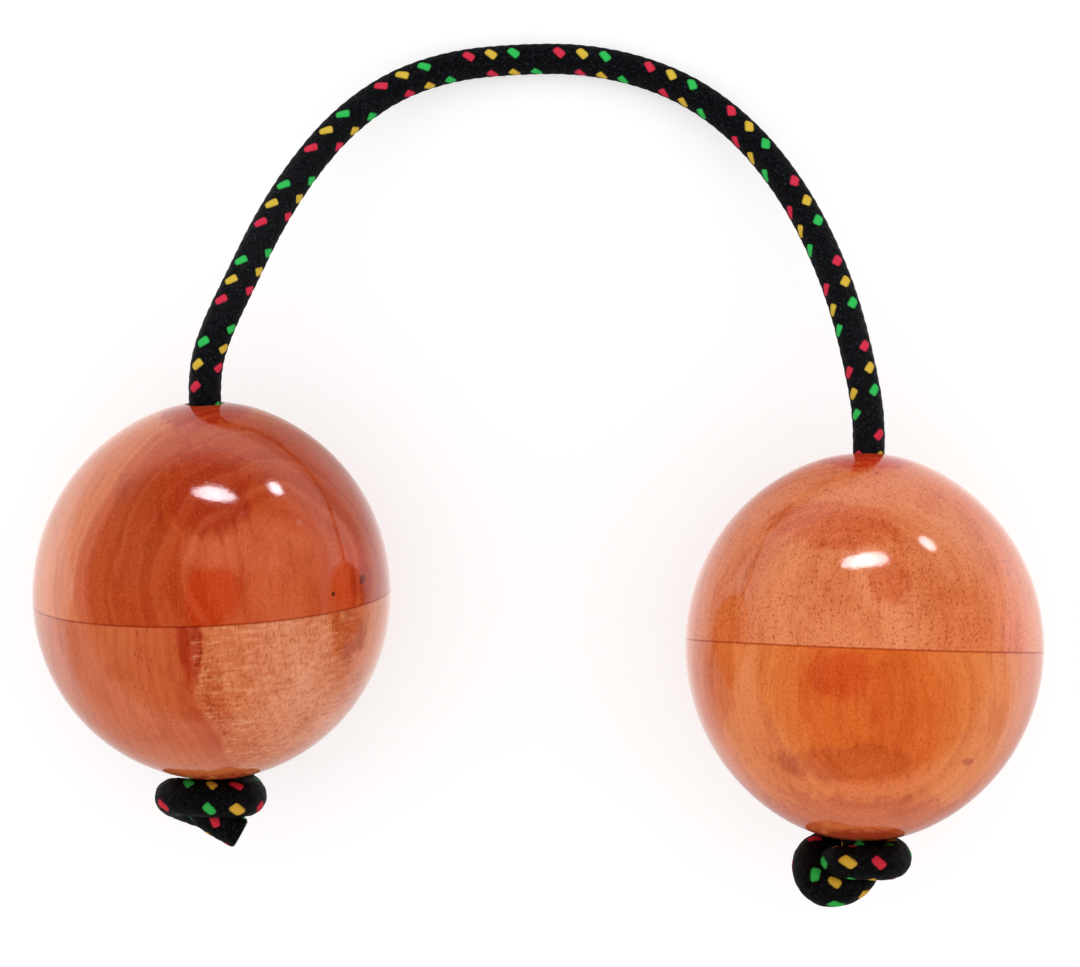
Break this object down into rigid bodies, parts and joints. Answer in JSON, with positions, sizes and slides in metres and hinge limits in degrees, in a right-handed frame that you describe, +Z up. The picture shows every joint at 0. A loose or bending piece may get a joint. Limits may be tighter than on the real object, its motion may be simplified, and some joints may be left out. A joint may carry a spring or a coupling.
{
  "type": "hand shaker pair",
  "caption": "Hollow turned wooden shaker balls with loose seeds inside, strung on a braided cord knotted under each ball.",
  "frame": {"origin": "on the surface that the pair lies on, under the middle of the two balls", "axes": "+X from the left ball to the right ball, +Y towards the crown of the cord, +Z up from the surface"},
  "size_m": [0.1555, 0.137, 0.055],
  "materials": {
    "varnished_wood": "gloss varnish over reddish turned hardwood",
    "braided_cord": "round black braid with red, yellow and green tracer yarns",
    "dried_seed": "matt dried seed"
  },
  "bodies": {
    "root": {"left_upper_shell": "varnished_wood", "left_lower_shell": "varnished_wood", "right_upper_shell": "varnished_wood", "right_lower_shell": "varnished_wood", "cord": "braided_cord", "left_knot": "braided_cord", "right_knot": "braided_cord", "left_seed_01": "dried_seed", "left_seed_02": "dried_seed", "left_seed_03": "dried_seed", "left_seed_04": "dried_seed", "left_seed_05": "dried_seed", "left_seed_06": "dried_seed", "left_seed_07": "dried_seed", "left_seed_08": "dried_seed", "left_seed_09": "dried_seed", "left_seed_10": "dried_seed", "left_seed_11": "dried_seed", "left_seed_12": "dried_seed", "right_seed_01": "dried_seed", "right_seed_02": "dried_seed", "right_seed_03": "dried_seed", "right_seed_04": "dried_seed", "right_seed_05": "dried_seed", "right_seed_06": "dried_seed", "right_seed_07": "dried_seed", "right_seed_08": "dried_seed", "right_seed_09": "dried_seed", "right_seed_10": "dried_seed", "right_seed_11": "dried_seed", "right_seed_12": "dried_seed"}
  },
  "joints": []
}
